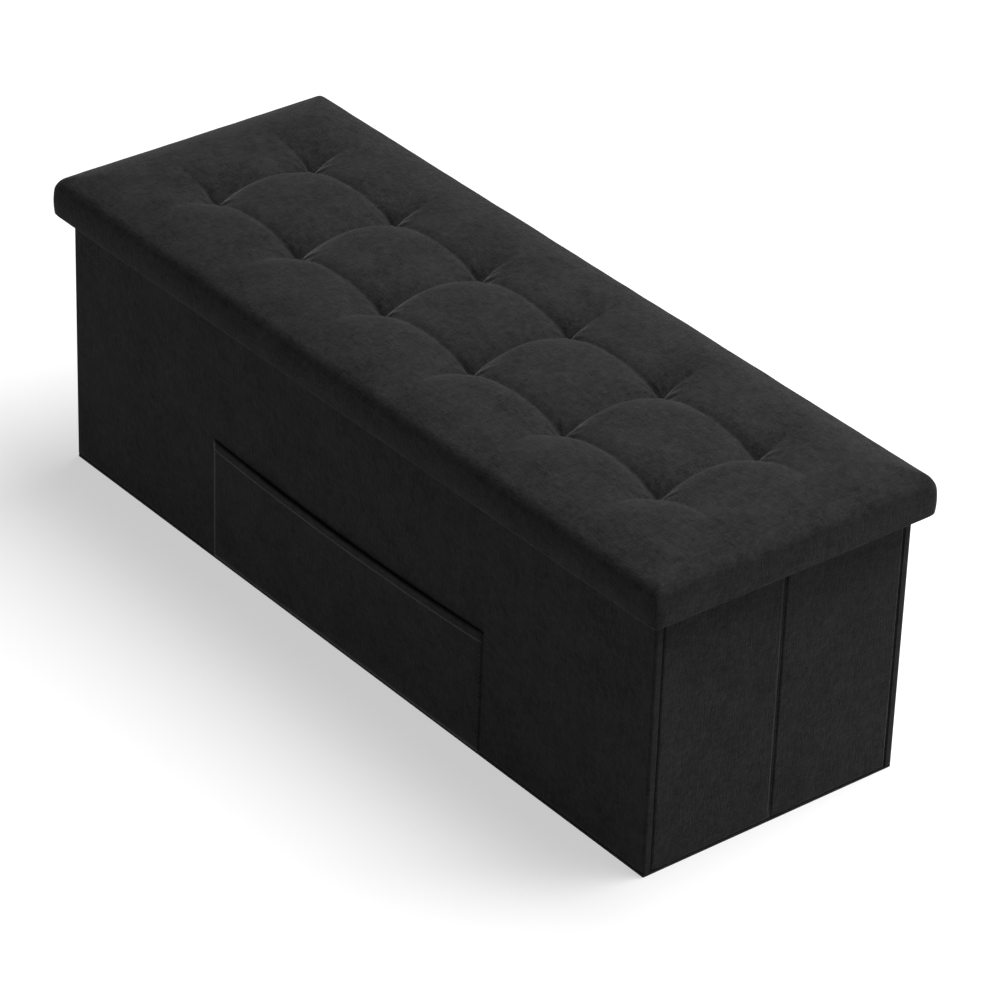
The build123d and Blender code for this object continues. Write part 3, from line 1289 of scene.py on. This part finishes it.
def build_lid_tape(wardrobe: Wardrobe) -> None:
    """The tape that joins the lid to the back.

    Args:
        wardrobe: where finishes come from.
    """
    low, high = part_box("lid_hinge_tape")
    half = 0.4 * MM
    corner = Vector((low.x, low.y + half, high.z - half))
    down, out = Vector((0, 0, -1)), Vector((0, 1, 0))
    drop, lap = high.z - low.z - half, high.y - low.y - half
    first = bend(corner, down, out, drop, 2.0 * MM)
    profile = [*first[:-2], corner + out * (lap + 2 * MM) / 2, corner + out * lap]
    run = Vector((high.x - low.x, 0, 0))
    tape = ClothHinge("lid_hinge_cloth", "lid_hinge_tape", ("back", "lid"), (drop + lap, run.x))
    tape.build(wardrobe, profile, run, corner + down * 2.5 * MM, corner + out * 2.5 * MM)


# --------------------------------------------------------------------------------------------------
# Studio
# --------------------------------------------------------------------------------------------------


@dataclass
class Studio:
    """Pale floor, soft lights and the camera."""

    floor_size: float = 60.0
    floor_colour: tuple = (0.36, 0.36, 0.36, 1.0)
    floor_glow: float = 0.55
    camera_place: Vector = field(default_factory=lambda: Vector((3.698, -2.9965, 3.076)))
    camera_right: Vector = field(default_factory=lambda: Vector((0.62033, 0.78375, 0.03036)))
    camera_up: Vector = field(default_factory=lambda: Vector((-0.42763, 0.30551, 0.85076)))
    lens: float = 177.0

    def build(self) -> None:
        """Makes the floor, lights, camera and background."""
        self.build_floor()
        self.build_camera()
        self.build_light("overhead", Vector((0.5, 1.5, 3.2)), 3.0, 305.0)
        self.build_light("side", Vector((3.6, 1.4, 1.5)), 1.8, 26.0)
        world = bpy.data.worlds.new("studio")
        world.use_nodes = True
        world.node_tree.nodes["Background"].inputs["Color"].default_value = (1, 1, 1, 1)
        world.node_tree.nodes["Background"].inputs["Strength"].default_value = 0.12
        bpy.context.scene.world = world
        bpy.context.scene.view_settings.view_transform = "Standard"

    def build_floor(self) -> None:
        """A large plain floor."""
        bm = bmesh.new()
        bmesh.ops.create_grid(bm, x_segments=1, y_segments=1, size=self.floor_size / 2)
        floor = piece_from(bm, "studio_floor", smooth=False)
        floor.location.z = -0.2 * MM
        dye = Dye("studio_floor")
        floor.data.materials.append(dye.finish({
            "Base Color": self.floor_colour, "Roughness": 0.9,
            "Emission Color": (1, 1, 1, 1), "Emission Strength": self.floor_glow,
        }))

    def build_light(self, name: str, place: Vector, size: float, power: float) -> None:
        """A soft square light aimed at the bench.

        Args:
            name: its name.
            place: where it stands.
            size: its side.
            power: its power in watts.
        """
        lamp = bpy.data.lights.new(name, "AREA")
        lamp.size, lamp.energy = size, power
        light = bpy.data.objects.new(name, lamp)
        light.location = place
        light.rotation_euler = (Vector((0, 0, 0.2)) - place).to_track_quat("-Z", "Y").to_euler()
        bpy.context.scene.collection.objects.link(light)

    def build_camera(self) -> None:
        """The camera, from its place and its two axes."""
        data = bpy.data.cameras.new("camera")
        data.lens, data.sensor_width = self.lens, 36.0
        camera = bpy.data.objects.new("camera", data)
        right = self.camera_right.normalized()
        back = right.cross(self.camera_up).normalized()
        up = back.cross(right)
        turn = Matrix((right, up, back)).transposed().to_4x4()
        camera.matrix_world = Matrix.Translation(self.camera_place) @ turn
        bpy.context.scene.collection.objects.link(camera)
        bpy.context.scene.camera = camera


def main() -> None:
    """Builds every sub-assembly in order."""
    logging.basicConfig(level=logging.INFO, format="%(name)s: %(message)s")
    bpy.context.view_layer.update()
    wardrobe = Wardrobe()
    Studio().build()
    TuftedLid().build(wardrobe)
    panels = (
        ("back", Facing.BACK), ("front", Facing.FRONT), ("right_rear", Facing.RIGHT),
        ("right_front", Facing.RIGHT), ("left_rear", Facing.LEFT), ("left_front", Facing.LEFT),
    )
    for seed, (name, facing) in enumerate(panels):
        CoveredPanel(name, facing, 11.3 + 3.7 * seed).build(wardrobe)
    PatchPocket().build(wardrobe)
    Base().build(wardrobe)
    build_hinges(wardrobe)


if __name__ == "__main__":
    main()
